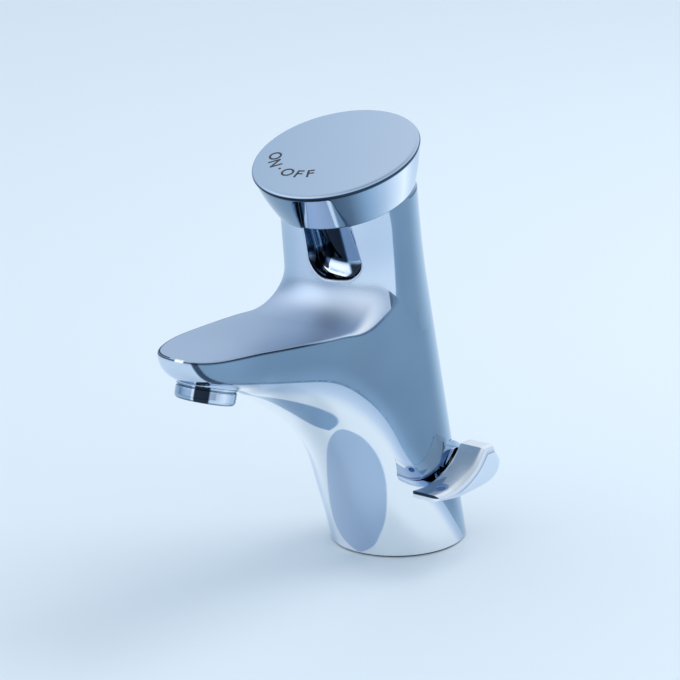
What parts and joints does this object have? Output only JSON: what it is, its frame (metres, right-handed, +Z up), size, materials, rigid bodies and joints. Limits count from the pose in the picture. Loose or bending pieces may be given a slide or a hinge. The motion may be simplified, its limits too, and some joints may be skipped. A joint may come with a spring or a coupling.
{
  "type": "push-operated basin mixer tap",
  "caption": "Deck-mounted self-closing basin mixer with a leaning column, tilted conical press cap, short spout with aerator and a small side temperature lever.",
  "frame": {"origin": "centre of the base on the basin deck", "axes": "+Z up from the deck, the spout points along -Y, the temperature lever is on the +X side"},
  "size_m": [0.0716, 0.1509, 0.2116],
  "materials": {
    "chrome_body": "polished chrome plate on a casting",
    "chrome_cap": "polished chrome plate",
    "cap_plate": "fine satin chrome plate",
    "chrome_aerator": "polished chrome plate",
    "chrome_lever": "polished chrome plate",
    "dark_chrome": "polished chrome plate",
    "steel": "turned stainless steel",
    "brass": "machined brass",
    "white_plastic": "moulded acetal",
    "grey_plastic": "moulded plastic",
    "blue_plastic": "glossy coloured plug",
    "black_rubber": "nitrile rubber"
  },
  "bodies": {
    "root": {"tap_body": "chrome_body", "return_spring": "steel", "cartridge_housing": "white_plastic", "cartridge_nut": "brass", "cartridge_o_rings": "black_rubber", "spindle_bush": "brass", "aerator_housing": "chrome_aerator", "aerator_insert": "grey_plastic", "aerator_gasket": "black_rubber", "mixer_sleeve": "white_plastic", "mixer_gland": "dark_chrome", "mixer_ring": "black_rubber", "base_gasket": "black_rubber", "check_valves": "grey_plastic", "inlet_filters": "steel", "fixing_stud": "steel", "horseshoe_seal": "black_rubber", "horseshoe_plate": "steel", "fixing_nut": "brass"},
    "cap": {"push_cap": "chrome_cap", "cap_plate": "cap_plate", "cap_screw": "steel", "push_spindle": "steel", "timing_piston": "white_plastic", "piston_seal": "black_rubber"},
    "lever": {"temperature_lever": "chrome_lever", "index_plug": "blue_plastic", "lever_grub_screw": "steel", "mixer_spindle": "brass", "mixer_drum": "grey_plastic"}
  },
  "joints": [
    {"name": "cap_press", "type": "slide", "parent": "root", "child": "cap", "axis": [0, 0.309, -0.9511], "range_m": [0, 0.0036], "stiffness_N_per_m": 1500, "springref_m": -0.008, "deforming": ["return_spring"]},
    {"name": "lever_turn", "type": "hinge", "parent": "root", "child": "lever", "pos_m": [0.0333, 0.002, 0.0325], "axis": [1, 0, 0], "range_deg": [-45, 45]}
  ]
}
